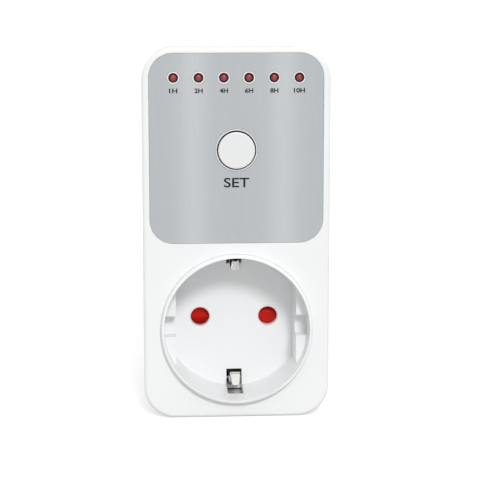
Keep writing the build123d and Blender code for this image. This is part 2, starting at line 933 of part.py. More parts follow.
# ---------------------------------------------------------------- power board
tab_slot = (3.1, 1.2)
with BuildPart() as power_board:
    with BuildSketch(facing(power_board_back)):
        with Locations((0, power_board_middle)):
            RectangleRounded(*power_board_size, board_corner)
        with Locations(*power_screw_places):
            Circle(board_hole_radius, mode=Mode.SUBTRACT)
        with Locations(header_place):
            with GridLocations(1, header_pitch, 1, header_count):
                Rectangle(header_hole, header_hole, mode=Mode.SUBTRACT)
        for x in (-feed_x, -tail_x, tail_x, feed_x):
            with Locations((x, tab_z)):
                Rectangle(*tab_slot, mode=Mode.SUBTRACT)
    extrude(amount=board_thickness)
save(power_board, "power_board")

relay_place = (-12.4, 50.5)
relay_size = (12.7, 28.5)
relay_height = 15.5
relay_corner = 0.8
relay_edge = 0.4
with BuildPart() as relay:
    with BuildSketch(facing(power_board_front)):
        with Locations(relay_place):
            Rectangle(*relay_size)
    extrude(amount=relay_height)
    fillet(relay.edges().filter_by(Axis.Y), relay_corner)
    chamfer(relay.faces().sort_by(Axis.Y)[0].edges(), relay_edge)
save(relay, "relay")

dropper_place = (0.4, 58.0)
dropper_size = (8.5, 18.0)
dropper_height = 14.5
dropper_corner = 0.8
dropper_edge = 0.5
with BuildPart() as dropper_capacitor:
    with BuildSketch(facing(power_board_front)):
        with Locations(dropper_place):
            Rectangle(*dropper_size)
    extrude(amount=dropper_height)
    fillet(dropper_capacitor.edges().filter_by(Axis.Y), dropper_corner)
    chamfer(dropper_capacitor.faces().sort_by(Axis.Y)[0].edges(), dropper_edge)
save(dropper_capacitor, "dropper_capacitor")

smoothing_place = (11.5, 64.5)
smoothing_radius = 4.0
smoothing_height = 11.5
smoothing_edge = 0.5
smoothing_groove = (1.6, 0.8, 0.35)
with BuildPart() as smoothing_capacitor:
    with BuildSketch(facing(power_board_front)):
        with Locations(smoothing_place):
            Circle(smoothing_radius)
    extrude(amount=smoothing_height)
    chamfer(smoothing_capacitor.faces().sort_by(Axis.Y)[0].edges(), smoothing_edge)
    # Rolled groove that holds the rubber bung: its start, width and depth
    groove_start, groove_width, groove_depth = smoothing_groove
    with BuildSketch(facing(power_board_front + groove_start)):
        with Locations(smoothing_place):
            Circle(smoothing_radius + groove_depth)
            Circle(smoothing_radius - groove_depth, mode=Mode.SUBTRACT)
    extrude(amount=groove_width, mode=Mode.SUBTRACT)
save(smoothing_capacitor, "smoothing_capacitor")

varistor_place = (10.0, 40.0)
varistor_radius = 4.6
varistor_thickness = 3.8
varistor_edge = 1.0
varistor_lift = 1.2
varistor_lead = 0.7
varistor_lead_pitch = 5.0
varistor_lead_length = 3.5
with BuildPart() as surge_varistor:
    with BuildSketch(Plane.YZ.offset(varistor_place[0])):
        varistor_middle = power_board_front + varistor_lift + varistor_radius
        with Locations((-varistor_middle, varistor_place[1])):
            Circle(varistor_radius)
    extrude(amount=varistor_thickness / 2, both=True)
    chamfer(surge_varistor.edges().filter_by(GeomType.CIRCLE), varistor_edge)
    with BuildSketch(facing(power_board_front)):
        with Locations(varistor_place):
            with GridLocations(1, varistor_lead_pitch, 1, 2):
                Rectangle(varistor_lead, varistor_lead)
    extrude(amount=varistor_lead_length)
save(surge_varistor, "surge_varistor")

fuse_place = (1.0, 40.0)
fuse_radius = 4.2
fuse_height = 7.6
fuse_edge = 0.6
with BuildPart() as fuse:
    with BuildSketch(facing(power_board_front)):
        with Locations(fuse_place):
            Circle(fuse_radius)
    extrude(amount=fuse_height)
    chamfer(fuse.faces().sort_by(Axis.Y)[0].edges(), fuse_edge)
save(fuse, "fuse")

bridge_place = (10.6, 53.0)
bridge_size = (6.4, 8.2)
bridge_height = 3.0
bridge_lift = 0.3
bridge_leg_size = (1.4, 1.0)
bridge_leg_pitch = (7.4, 5.1)
bridge_leg_height = 1.6
with BuildPart() as bridge_rectifier:
    with BuildSketch(facing(power_board_front + bridge_lift)):
        with Locations(bridge_place):
            Rectangle(*bridge_size)
    extrude(amount=bridge_height)
    chamfer(bridge_rectifier.faces().sort_by(Axis.Y)[0].edges(), bridge_lift)
    with BuildSketch(facing(power_board_front)):
        with Locations(bridge_place):
            with GridLocations(*bridge_leg_pitch, 2, 2):
                Rectangle(*bridge_leg_size)
    extrude(amount=bridge_leg_height)
save(bridge_rectifier, "bridge_rectifier")

resistor_places = [(-5.5, 31.6), (-5.5, 34.6)]
resistor_length = 6.4
resistor_radius = 1.2
resistor_height = power_board_front + resistor_radius
with BuildPart() as board_resistors:
    for x, z in resistor_places:
        with BuildSketch(Plane.YZ.offset(x - resistor_length / 2)):
            with Locations((-resistor_height, z)):
                Circle(resistor_radius)
        extrude(amount=resistor_length)
save(board_resistors, "board_resistors")

# --------------------------------------------------------------------- screws
recess_depth = 0.9
recess_width = 0.8
recess_length = 3.1


def cross_head_screws(places, seat, direction, head, shank):
    """Cross-head screws seated at a height; head and shank are (radius, length)."""
    cross = min(recess_length, 1.5 * head[0])
    with BuildPart() as screws:
        with BuildSketch(facing(seat)):
            with Locations(*places):
                Circle(head[0])
        extrude(amount=-direction * head[1])
        with BuildSketch(facing(seat)):
            with Locations(*places):
                Circle(shank[0])
        extrude(amount=direction * shank[1])
        with BuildSketch(facing(seat - direction * head[1])):
            with Locations(*places):
                Rectangle(cross, recess_width)
                Rectangle(recess_width, cross)
        extrude(amount=direction * recess_depth, mode=Mode.SUBTRACT)
    return screws


housing_head = (screw_head_radius, screw_head_height)
housing_shank = (screw_shank_radius, screw_length)
housing_screws = cross_head_screws(
    housing_screw_places, screw_head_seat, 1, housing_head, housing_shank
)
save(housing_screws, "housing_screws")

board_head = (board_screw_head_radius, board_screw_head_height)
control_shank = (board_screw_radius, control_screw_length)
power_shank = (board_screw_radius, power_screw_length)
control_screws = cross_head_screws(
    control_screw_places, control_board_back, 1, board_head, control_shank
)
power_screws = cross_head_screws(
    power_screw_places, power_board_front, -1, board_head, power_shank
)
with BuildPart() as board_screws:
    add(control_screws.part)
    add(power_screws.part)
save(board_screws, "board_screws")
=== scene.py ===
import json
from math import cos, pi, radians, sin, tan

import bmesh
import bpy
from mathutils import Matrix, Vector


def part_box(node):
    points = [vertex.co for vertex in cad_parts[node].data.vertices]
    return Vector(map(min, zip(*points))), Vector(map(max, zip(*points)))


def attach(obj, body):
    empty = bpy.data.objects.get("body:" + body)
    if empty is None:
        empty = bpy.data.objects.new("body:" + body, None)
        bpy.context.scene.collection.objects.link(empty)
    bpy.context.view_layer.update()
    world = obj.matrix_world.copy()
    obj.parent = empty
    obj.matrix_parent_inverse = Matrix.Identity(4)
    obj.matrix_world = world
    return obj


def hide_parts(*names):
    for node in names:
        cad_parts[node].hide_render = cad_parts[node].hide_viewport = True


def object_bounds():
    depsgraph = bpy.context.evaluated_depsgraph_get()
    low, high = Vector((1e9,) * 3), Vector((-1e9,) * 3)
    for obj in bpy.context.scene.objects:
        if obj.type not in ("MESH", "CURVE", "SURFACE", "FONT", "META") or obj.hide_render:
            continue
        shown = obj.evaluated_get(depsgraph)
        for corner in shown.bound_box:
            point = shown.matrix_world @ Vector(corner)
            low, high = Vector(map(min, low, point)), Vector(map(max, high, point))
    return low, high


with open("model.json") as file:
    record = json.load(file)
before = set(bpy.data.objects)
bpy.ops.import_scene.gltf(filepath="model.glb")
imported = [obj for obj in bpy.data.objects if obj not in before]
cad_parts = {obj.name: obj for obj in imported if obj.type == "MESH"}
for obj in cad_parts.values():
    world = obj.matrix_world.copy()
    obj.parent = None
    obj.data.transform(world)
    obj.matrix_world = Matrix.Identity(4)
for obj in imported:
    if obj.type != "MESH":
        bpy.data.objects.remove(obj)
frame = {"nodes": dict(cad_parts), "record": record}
cad_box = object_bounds()

# A plug-in countdown timer with a side-earthed socket.  Sizes are in millimetres
# and become metres where a mesh is made.  A height is a distance in front of the
# plug's engagement face, so a height h lies at y = -h.
MM = 0.001


# ------------------------------------------------------------------------------
# Rear housing.  The back half of the moulded case: a drafted tray with the round
# plug base, its guide grooves and earth recesses.  White self-extinguishing
# plastic, moulded in one, and screwed to the front cover from behind.
# ------------------------------------------------------------------------------
def add_node(tree, kind, sockets=None, **settings):
    """A node with its settings, and its sockets linked to others or set to values."""
    node = tree.nodes.new(kind)
    for name, value in settings.items():
        setattr(node, name, value)
    for name, value in (sockets or {}).items():
        if isinstance(value, bpy.types.NodeSocket):
            tree.links.new(value, node.inputs[name])
        else:
            node.inputs[name].default_value = value
    return node


def mapped(tree, factor, from_low, from_high, low=0.0, high=1.0):
    """A factor carried over from one span to another, and held at its ends."""
    node = add_node(tree, "ShaderNodeMapRange", {
        "Value": factor, "From Min": from_low, "From Max": from_high,
        "To Min": low, "To Max": high})
    return node.outputs["Result"]


def new_material(name, colour, roughness, metallic=0.0):
    """A material with its Principled shader and the object's own coordinates."""
    material = bpy.data.materials.new(name)
    material.use_nodes = True
    shader = material.node_tree.nodes["Principled BSDF"]
    shader.inputs["Base Color"].default_value = (*colour, 1)
    shader.inputs["Roughness"].default_value = roughness
    shader.inputs["Metallic"].default_value = metallic
    coordinates = add_node(material.node_tree, "ShaderNodeTexCoord")
    return material, shader, coordinates.outputs["Object"]


def add_noise(material, coordinates, scale, detail=3.0, stretch=(1, 1, 1)):
    """Noise on the object's own coordinates, stretched along its axes."""
    tree = material.node_tree
    mapping = add_node(tree, "ShaderNodeMapping", {"Vector": coordinates, "Scale": stretch})
    noise = add_node(tree, "ShaderNodeTexNoise", {
        "Vector": mapping.outputs["Vector"], "Scale": scale, "Detail": detail})
    return noise.outputs["Fac"]


def colour_by(material, shader, factor, *stops):
    """Lets a factor pick the base colour from stops of (position, colour)."""
    ramp = add_node(material.node_tree, "ShaderNodeValToRGB", {"Fac": factor})
    elements = ramp.color_ramp.elements
    for place, (position, colour) in enumerate((stops[0], stops[-1])):
        elements[place].position = position
        elements[place].color = (*colour, 1)
    for position, colour in stops[1:-1]:
        elements.new(position).color = (*colour, 1)
    material.node_tree.links.new(ramp.outputs["Color"], shader.inputs["Base Color"])
    return ramp


def tint(material, shader, factor, first, second):
    """Lets the base colour run from one colour to another by a noise."""
    colour_by(material, shader, factor, (0.35, first), (0.65, second))


def vary_roughness(material, shader, factor, low, high):
    """Lets the roughness run between two values by a noise."""
    tree = material.node_tree
    spread = mapped(tree, factor, from_low=0.3, from_high=0.7, low=low, high=high)
    tree.links.new(spread, shader.inputs["Roughness"])


def add_bump(material, shader, factor, depth, strength):
    """Fine relief, its depth in millimetres."""
    tree = material.node_tree
    bump = add_node(tree, "ShaderNodeBump", {
        "Height": factor, "Distance": depth * MM, "Strength": strength})
    tree.links.new(bump.outputs["Normal"], shader.inputs["Normal"])


def tool_grain(material, shader, coordinates, roughness, depth=0.006):
    """The uneven gloss and the fine grain that an eroded tool leaves on plastic."""
    gloss = add_noise(material, coordinates, scale=260)
    vary_roughness(material, shader, gloss, low=roughness - 0.04, high=roughness + 0.05)
    grain = add_noise(material, coordinates, scale=5200, detail=2.0)
    add_bump(material, shader, grain, depth, strength=0.4)


def moulded_plastic(name, colour, roughness, grain_depth=0.006):
    """Moulded plastic: a faint drift of tone and the tool's grain."""
    material, shader, coordinates = new_material(name, colour, roughness)
    drift = add_noise(material, coordinates, scale=60, detail=2.0)
    tint(material, shader, drift, [0.985 * part for part in colour], colour)
    tool_grain(material, shader, coordinates, roughness, grain_depth)
    return material


def finished(data, name, material, nodes, edge=0.0, crease=32, stands_for_nodes=True):
    """Shades a mesh, rounds its edges, and lets it ride with and stand for CAD nodes."""
    for face in data.polygons:
        face.use_smooth = True
    data.set_sharp_from_angle(angle=radians(crease))
    if not data.materials:
        data.materials.append(material)
    piece = bpy.data.objects.new(name, data)
    bpy.context.scene.collection.objects.link(piece)
    if edge:
        rounding = piece.modifiers.new("rounded edges", "BEVEL")
        rounding.width = edge * MM
        rounding.segments = 2
        rounding.limit_method = "ANGLE"
        rounding.angle_limit = radians(crease)
    flat = piece.modifiers.new("flat faces stay flat", "WEIGHTED_NORMAL")
    flat.keep_sharp = True
    bodies, parts = frame["record"]["behaviour"]["bodies"], frame["record"]["subparts"]
    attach(piece, next(body for body, members in bodies.items() if nodes[0] in members))
    if stands_for_nodes:
        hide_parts(*nodes)
    return piece


merge_distance, flat_angle = 0.002, 0.4


def dressed_copy(node, name, material, edge=0.1, crease=32):
    """A copy of a CAD node with its facets merged and its edges slightly rounded."""
    mesh = bmesh.new()
    mesh.from_mesh(frame["nodes"][node].data)
    bmesh.ops.remove_doubles(mesh, verts=mesh.verts, dist=merge_distance * MM)
    bmesh.ops.dissolve_limit(mesh, angle_limit=radians(flat_angle),
                             verts=mesh.verts, edges=mesh.edges)
    data = bpy.data.meshes.new(name)
    mesh.to_mesh(data)
    mesh.free()
    return finished(data, name, material, [node], edge, crease)


white_shell = moulded_plastic("white_shell", (0.87, 0.875, 0.88), roughness=0.36)
dressed_copy("rear_housing", "rear_shell", white_shell, edge=0.12)


# ------------------------------------------------------------------------------
# Plug pins and their feed strips.  Turned and nickel-plated brass pins with round
# ends, riveted to flat brass strips that lead up to the power board.
# ------------------------------------------------------------------------------
def plated_metal(name, colour, roughness, drawn):
    """Plated metal with faint marks along the way it was rolled or turned."""
    material, shader, coordinates = new_material(name, colour, roughness, metallic=1.0)
    marks = add_noise(material, coordinates, scale=1500, stretch=drawn)
    vary_roughness(material, shader, marks, low=roughness - 0.03, high=roughness + 0.03)
    add_bump(material, shader, marks, depth=0.0005, strength=0.1)
    drift = add_noise(material, coordinates, scale=300, detail=2.0)
    tint(material, shader, drift, [0.96 * part for part in colour], colour)
    return material


def refinish(material, *nodes):
    """Gives CAD nodes that the closed case hides their finish."""
    for node in nodes:
        data = frame["nodes"][node].data
        for place in range(len(data.materials)):
            data.materials[place] = material
        if not data.materials:
            data.materials.append(material)


nickel_pin = plated_metal("nickel_pin", (0.62, 0.60, 0.57), roughness=0.24,
                          drawn=(0.1, 1, 0.1))
contact_brass = plated_metal("contact_brass", (0.72, 0.52, 0.22), roughness=0.3,
                             drawn=(1, 0.1, 0.1))
dressed_copy("live_pin", "live_plug_pin", nickel_pin, edge=0, crease=25)
dressed_copy("neutral_pin", "neutral_plug_pin", nickel_pin, edge=0, crease=25)
refinish(contact_brass, "live_feed_strip", "neutral_feed_strip")


# ------------------------------------------------------------------------------
# Earth bow.  A nickel-plated brass strip, bent round the plug base's earth recesses
# and led forward to the roots of the socket's two earth clips.
# ------------------------------------------------------------------------------
nickel_strip = plated_metal("nickel_strip", (0.84, 0.83, 0.81), roughness=0.2,
                            drawn=(1, 0.08, 0.08))
dressed_copy("earth_bow", "earth_bow_strip", nickel_strip, edge=0.08)


# ------------------------------------------------------------------------------
# Contact block.  Moulded in dark heat-proof plastic, it holds the brass fork
# contacts, the roots of the earth clips and the post that the shutter turns on.
# ------------------------------------------------------------------------------
grey_plastic = moulded_plastic("grey_plastic", (0.07, 0.07, 0.075), roughness=0.5)
dressed_copy("contact_carrier", "contact_block", grey_plastic, edge=0.08)
refinish(contact_brass, "live_contact", "neutral_contact")


# ------------------------------------------------------------------------------
# Shutter and its spring.  A rocker moulded in red plastic turns on the contact
# block's post.  It closes both pin holes until two pins push its ramps at once, and
# a coil of steel wire turns it back.
# ------------------------------------------------------------------------------
def shape_tree(name, sizes):
    """A Geometry Nodes tree with named sizes: the tree, what it is given, its outlet."""
    tree = bpy.data.node_groups.new(name, "GeometryNodeTree")
    tree.interface.new_socket("Geometry", in_out="INPUT", socket_type="NodeSocketGeometry")
    for size in sizes:
        tree.interface.new_socket(size, in_out="INPUT", socket_type="NodeSocketFloat")
    tree.interface.new_socket("Geometry", in_out="OUTPUT", socket_type="NodeSocketGeometry")
    return tree, tree.nodes.new("NodeGroupInput").outputs, tree.nodes.new("NodeGroupOutput")


def end_tree(tree, last, material, outlet):
    """Ends a tree in real geometry that carries its material."""
    real = add_node(tree, "GeometryNodeRealizeInstances", {"Geometry": last})
    finish = add_node(tree, "GeometryNodeSetMaterial", {
        "Geometry": real.outputs["Geometry"], "Material": material})
    tree.links.new(finish.outputs["Geometry"], outlet.inputs["Geometry"])


def grown(tree, name, start, sizes):
    """The plain mesh that a tree makes of a starting mesh with its sizes in metres."""
    holder = bpy.data.objects.new(name, start)
    bpy.context.scene.collection.objects.link(holder)
    growth = holder.modifiers.new(name, "NODES")
    growth.node_group = tree
    for socket in tree.interface.items_tree:
        if socket.in_out == "INPUT" and socket.name in sizes:
            growth[socket.identifier] = sizes[socket.name]
    bpy.context.view_layer.update()
    made = holder.evaluated_get(bpy.context.evaluated_depsgraph_get())
    data = bpy.data.meshes.new_from_object(made)
    data.name = name
    bpy.data.objects.remove(holder)
    return data


def points_mesh(name, places):
    """A mesh of loose points at (x, height, z)."""
    data = bpy.data.meshes.new(name)
    data.from_pydata([(x * MM, -height * MM, z * MM) for x, height, z in places], [], [])
    return data


red_shutter = moulded_plastic("red_shutter", (0.54, 0.009, 0.004), roughness=0.5)
shutter_shader = red_shutter.node_tree.nodes["Principled BSDF"]
shutter_shader.inputs["Specular IOR Level"].default_value = 0.15
dressed_copy("shutter", "shutter_rocker", red_shutter, edge=0.1)

spring_steel = plated_metal("spring_steel", (0.55, 0.55, 0.56), roughness=0.3,
                            drawn=(1, 1, 1))
spring_low, spring_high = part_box("shutter_spring")
spring_wire = 0.19
spring_turns = 2.0
spring_radius = (spring_high.x - spring_low.x) / 2 / MM - spring_wire
spring_rise = (spring_high.y - spring_low.y) / MM - 2 * spring_wire
tree, given, outlet = shape_tree("coil spring", ["Radius", "Wire", "Rise", "Turns"])
coil = add_node(tree, "GeometryNodeCurveSpiral", {
    "Resolution": 24, "Rotations": given["Turns"], "Start Radius": given["Radius"],
    "End Radius": given["Radius"], "Height": given["Rise"]})
wire = add_node(tree, "GeometryNodeCurvePrimitiveCircle", {
    "Resolution": 10, "Radius": given["Wire"]})
swept = add_node(tree, "GeometryNodeCurveToMesh", {
    "Curve": coil.outputs["Curve"], "Profile Curve": wire.outputs["Curve"], "Fill Caps": True})
placed = add_node(tree, "GeometryNodeTransform", {
    "Geometry": swept.outputs["Mesh"], "Rotation": (radians(90), 0, 0),
    "Translation": (0, spring_high.y - spring_wire * MM, 0)})
end_tree(tree, placed.outputs["Geometry"], spring_steel, outlet)
spring_data = grown(tree, "return_coil", points_mesh("coil start", [(0, 0, 0)]),
                    {"Radius": spring_radius * MM, "Wire": spring_wire * MM,
                     "Rise": spring_rise * MM, "Turns": spring_turns})
finished(spring_data, "return_coil", spring_steel, ["shutter_spring"], crease=60)


# ------------------------------------------------------------------------------
# Socket well.  The round insert that a plug goes into: a raised lip, side shelves
# with notches that guide the plug, a floor with two pin holes and slots for the
# earth clips.  Moulded in the case's white plastic and held between the shells.
# ------------------------------------------------------------------------------
dressed_copy("socket_well", "socket_insert", white_shell, edge=0.12)


# ------------------------------------------------------------------------------
# Earth clips.  Two bent strips of nickel-plated bronze.  From their roots in the
# contact block they rise through the floor's slots, bow inwards and curl back to a
# narrower tip with rounded corners.
# ------------------------------------------------------------------------------
class Form:
    """A closed surface made of rings of points, walls between them and flat caps."""

    def __init__(self):
        self.mesh = bmesh.new()

    def loop(self, points):
        return [self.mesh.verts.new((x * MM, -height * MM, z * MM)) for x, height, z in points]

    def ring(self, outline, height):
        return self.loop([(x, height, z) for x, z in outline])

    def wall(self, *rings):
        for first, second in zip(rings, rings[1:]):
            for here in range(len(first)):
                there = (here + 1) % len(first)
                self.mesh.faces.new((first[here], first[there], second[there], second[here]))

    def cap(self, *rings):
        edges = []
        for ring in rings:
            for here in range(len(ring)):
                pair = (ring[here], ring[(here + 1) % len(ring)])
                edges.append(self.mesh.edges.get(pair) or self.mesh.edges.new(pair))
        bmesh.ops.triangle_fill(self.mesh, use_beauty=True, edges=edges)

    def done(self, name):
        bmesh.ops.recalc_face_normals(self.mesh, faces=self.mesh.faces)
        data = bpy.data.meshes.new(name)
        self.mesh.to_mesh(data)
        self.mesh.free()
        return data


def quarter_turn(steps):
    """The angles of a quarter turn in even steps, both ends included."""
    return [radians(90 * step / steps) for step in range(steps + 1)]


def bent_path(corners, radii, steps=8):
    """Points along a line through corners that are rounded with the given radii."""
    path = [Vector(corners[0])]
    for before, corner, after, radius in zip(corners, corners[1:], corners[2:], radii):
        corner = Vector(corner)
        inward = (Vector(before) - corner).normalized()
        onward = (Vector(after) - corner).normalized()
        half = inward.angle(onward) / 2
        reach = radius / tan(half)
        middle = corner + (inward + onward).normalized() * radius / sin(half)
        start, end = corner + inward * reach - middle, corner + onward * reach - middle
        for step in range(steps + 1):
            path.append(middle + start.slerp(end, step / steps))
    path.append(Vector(corners[-1]))
    return path


clip_path = [(29.5, 17.8), (35.0, 17.8), (42.4, 14.4), (45.7, 14.5), (48.0, 17.6)]
clip_bends = [2.0, 4.0, 1.2]
clip_thickness = 0.6
clip_wide, clip_tip, clip_taper, clip_tip_round = 3.2, 1.9, 6.4, 0.7


def bent_clip(name, node, side):
    """A clip on the upper or lower side of the well, drawn along its path."""
    path = bent_path(clip_path, clip_bends)
    end = path.pop()
    away = (path[-1] - end).normalized()
    path += [end + away * clip_tip_round * (1 - sin(turn)) for turn in quarter_turn(steps=4)]
    left = [0.0]
    for here, there in zip(path[::-1], path[-2::-1]):
        left.append(left[-1] + (here - there).length)
    form = Form()
    loops = []
    for place, point in enumerate(path):
        to_tip = left[len(path) - 1 - place]
        width = clip_wide - (clip_wide - clip_tip) * max(0, 1 - to_tip / clip_taper)
        half = width / 2
        if to_tip < clip_tip_round:
            half -= clip_tip_round - (clip_tip_round**2 - (clip_tip_round - to_tip)**2) ** 0.5
        along = path[min(place + 1, len(path) - 1)] - path[max(place - 1, 0)]
        across = Vector((-along.y, along.x)).normalized() * clip_thickness / 2
        outer, inner = point + across, point - across
        corners = [(-half, outer), (half, outer), (half, inner), (-half, inner)]
        loops.append(form.loop([(x, edge.x, side * edge.y) for x, edge in corners]))
    form.wall(*loops)
    form.mesh.faces.new(loops[0])
    form.mesh.faces.new(loops[-1])
    return finished(form.done(name), name, nickel_strip, [node], edge=0.07, crease=40)


bent_clip("upper_clip_strip", "upper_earth_clip", side=1)
bent_clip("lower_clip_strip", "lower_earth_clip", side=-1)


# ------------------------------------------------------------------------------
# Power board.  A green laminate board behind the socket's upper edge, held by short
# screws.  It carries the relay, the dropper and smoothing capacitors, the fuse, the
# varistor, the bridge rectifier and the resistors.
# ------------------------------------------------------------------------------
green_board = moulded_plastic("green_board", (0.02, 0.14, 0.05), roughness=0.3,
                              grain_depth=0.01)
black_plastic = moulded_plastic("black_plastic", (0.025, 0.025, 0.027), roughness=0.5)
refinish(green_board, "power_board", "control_board")
for node, case, colour, roughness in (
        ("relay", "relay_case", (0.03, 0.09, 0.3), 0.45),
        ("dropper_capacitor", "yellow_film", (0.62, 0.42, 0.06), 0.42),
        ("smoothing_capacitor", "black_sleeve", (0.02, 0.02, 0.025), 0.25),
        ("surge_varistor", "blue_disc", (0.03, 0.13, 0.42), 0.5),
        ("board_resistors", "resistor_body", (0.45, 0.36, 0.22), 0.45)):
    refinish(moulded_plastic(case, colour, roughness), node)
refinish(black_plastic, "fuse", "bridge_rectifier")


# ------------------------------------------------------------------------------
# Control board.  A small board of the same laminate, screwed behind the front wall,
# with the timer chip, its crystal, the header that joins the boards, the key switch
# and the black spacer that the lamps stand in.
# ------------------------------------------------------------------------------
refinish(black_plastic, "timer_chip", "board_header", "switch_body", "switch_plunger",
         "led_spacer")
refinish(nickel_strip, "clock_crystal")


# ------------------------------------------------------------------------------
# Front cover.  The front half of the case: walls that narrow towards the back, a
# rounded front edge, a shallow recess for the silver plate and collars that stand
# through it round the button and the lamps.  Moulded in one, white as the back.
# ------------------------------------------------------------------------------
cover_low, cover_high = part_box("front_cover")
face = -cover_low.y / MM
seam = -cover_high.y / MM
body_width, body_height = 50.5, 101.0
body_middle = (cover_low.z + cover_high.z) / 2 / MM
corner_radius = 8.7
draft = tan(radians(2.5))
wall, front_wall = 2.0, 2.2
cover_inside = face - front_wall
front_round, fine_edge = 1.1, 0.12
seam_gap, seam_gap_depth, seam_edge = 0.2, 0.45, 0.05
rebate_inset, rebate_height = 1.0, 1.6

plate_low, plate_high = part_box("panel_plate")
panel_width, panel_height = 46.6, 51.0
panel_radius = 6.5
panel_middle = (plate_low.z + plate_high.z) / 2 / MM
panel_gap, recess_edge = 0.05, 0.03
recess_depth = 0.4
recess_floor = face - recess_depth

lamp_names = ["led_1h", "led_2h", "led_4h", "led_6h", "led_8h", "led_10h"]
lamp_boxes = [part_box(name) for name in lamp_names]
lamp_places = [((low.x + high.x) / 2 / MM, (low.z + high.z) / 2 / MM)
               for low, high in lamp_boxes]
lamp_hole, lamp_collar, lamp_pocket, lamp_web, lamp_steps = 1.3, 1.65, 1.6, 0.65, 40
button_low, button_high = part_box("set_button")
button_place = (0.0, (button_low.z + button_high.z) / 2 / MM)
button_hole, button_collar, button_relief, button_web, button_steps = 5.25, 5.6, 5.95, 0.85, 80
lip_hole, lip_edge, lip_steps = 20.63, 0.04, 128
boss_places = [(-18.6, -18.4), (18.6, -18.4), (-19.3, 24.5), (19.3, 24.5)]
boss_radius, boss_hole, boss_hole_depth = 2.7, 1.33, 12.5
post_places = [(-17.5, 32.2), (17.5, 32.2)]
post_radius, post_hole, post_hole_depth, post_end = 2.3, 1.03, 5.0, 45.8


def rounded_outline(width, height, radius, middle, steps=14):
    """Points round a rectangle with rounded corners, centred at x = 0."""
    points = []
    for corner, (right, up) in enumerate(((1, 1), (-1, 1), (-1, -1), (1, -1))):
        for step in range(steps + 1):
            angle = radians(90 * (corner + step / steps))
            points.append((right * (width / 2 - radius) + radius * cos(angle),
                           middle + up * (height / 2 - radius) + radius * sin(angle)))
    return points


def body_outline(height, inset=0.0):
    """The case's outline at a height, set in from its drafted outer surface."""
    shrink = (face - height) * draft + inset
    return rounded_outline(body_width - 2 * shrink, body_height - 2 * shrink,
                           corner_radius - shrink, body_middle)


def panel_outline(spread=0.0):
    """The silver plate's outline, grown by a distance."""
    return rounded_outline(panel_width + 2 * spread, panel_height + 2 * spread,
                           panel_radius + spread, panel_middle)


def round_outline(place, radius, steps):
    """Points round a circle."""
    turns = [2 * pi * step / steps for step in range(steps)]
    return [(place[0] + radius * cos(turn), place[1] + radius * sin(turn)) for turn in turns]


def round_wall(form, place, profile, steps):
    """Walled rings round a place, through profile points of (radius, height)."""
    rings = [form.ring(round_outline(place, radius, steps), height)
             for radius, height in profile]
    form.wall(*rings)
    return rings


def case_rings(*places):
    """Rings of the cover that follow the case's outline, at (height, inset)."""
    return [cover.ring(body_outline(height, inset), height) for height, inset in places]


def collared_hole(place, collar, hole, relief, web, steps):
    """A hole through the cover with a softened collar in front and a relief behind."""
    return round_wall(cover, place, [
        (collar, recess_floor), (collar, face - fine_edge), (collar - fine_edge, face),
        (hole + fine_edge, face), (hole, face - fine_edge), (hole, face - web),
        (relief, face - web), (relief, cover_inside)], steps)


def blind_post(place, outer, inner, end, depth, steps=24):
    """A screw post that stands behind the front wall, with its blind hole."""
    rings = round_wall(cover, place, [
        (outer, cover_inside), (outer, end), (inner, end), (inner, end + depth)], steps)
    cover.cap(rings[-1])
    return rings


cover = Form()
gap_top = seam + seam_gap
rounding = [(face - front_round * (1 - sin(turn)), front_round * (1 - cos(turn)))
            for turn in quarter_turn(steps=8)]
outside = case_rings((seam, seam_gap_depth), (gap_top, seam_gap_depth), (gap_top, seam_edge),
                     (gap_top + seam_edge, 0.0), *rounding)
inside = case_rings((seam, rebate_inset), (seam + rebate_height, rebate_inset),
                    (seam + rebate_height, wall), (cover_inside, wall))
cover.wall(*reversed(inside), *outside)
recess = [cover.ring(panel_outline(spread), height) for spread, height in (
    (panel_gap + recess_edge, face), (panel_gap, face - recess_edge),
    (panel_gap, recess_floor))]
cover.wall(*recess)
lip_rings = round_wall(cover, (0, 0), [
    (lip_hole + lip_edge, face), (lip_hole, face - lip_edge),
    (lip_hole, cover_inside)], lip_steps)
cover.cap(outside[-1], recess[0], lip_rings[0])

collars = [collared_hole(button_place, button_collar, button_hole, button_relief, button_web,
                         button_steps)]
collars += [collared_hole(place, lamp_collar, lamp_hole, lamp_pocket, lamp_web, lamp_steps)
            for place in lamp_places]
posts = [blind_post(place, boss_radius, boss_hole, seam, boss_hole_depth)
         for place in boss_places]
posts += [blind_post(place, post_radius, post_hole, post_end, post_hole_depth)
          for place in post_places]
cover.cap(recess[-1], *[rings[0] for rings in collars])
cover.cap(inside[-1], lip_rings[-1], *[rings[-1] for rings in collars],
          *[rings[0] for rings in posts])
finished(cover.done("front_shell"), "front_shell", white_shell, ["front_cover"], crease=30)


# ------------------------------------------------------------------------------
# Lamps.  Six alike round lamps of red clear plastic with frosted domes, which
# stand in the cover's collars and have painted shade, dark where the collar shades them.
# ------------------------------------------------------------------------------
lamp_radius, lamp_flange, lamp_flange_height = 1.45, 1.9, 1.0
lamp_dome_steps, lamp_dome_turn = 12, 86.4
lamp_back = -lamp_boxes[0][1].y / MM
lamp_tip = -lamp_boxes[0][0].y / MM
lamp_pitch = (lamp_places[-1][0] - lamp_places[0][0]) / (len(lamp_places) - 1)
lamp_painted_shade_start, lamp_painted_shade_end = 0.8, 0.05


def turned(name, place, profile, steps):
    """A round piece: profile points are (radius, height), from axis to axis."""
    form = Form()
    rings = round_wall(form, place, profile, steps)
    form.cap(rings[0])
    form.cap(rings[-1])
    return form.done(name)


def way_along(material, coordinates, axis, start, end):
    """How far a point lies on the way between two places on an axis, from 0 to 1."""
    tree = material.node_tree
    split = add_node(tree, "ShaderNodeSeparateXYZ", {"Vector": coordinates})
    return mapped(tree, split.outputs[axis], start, end)


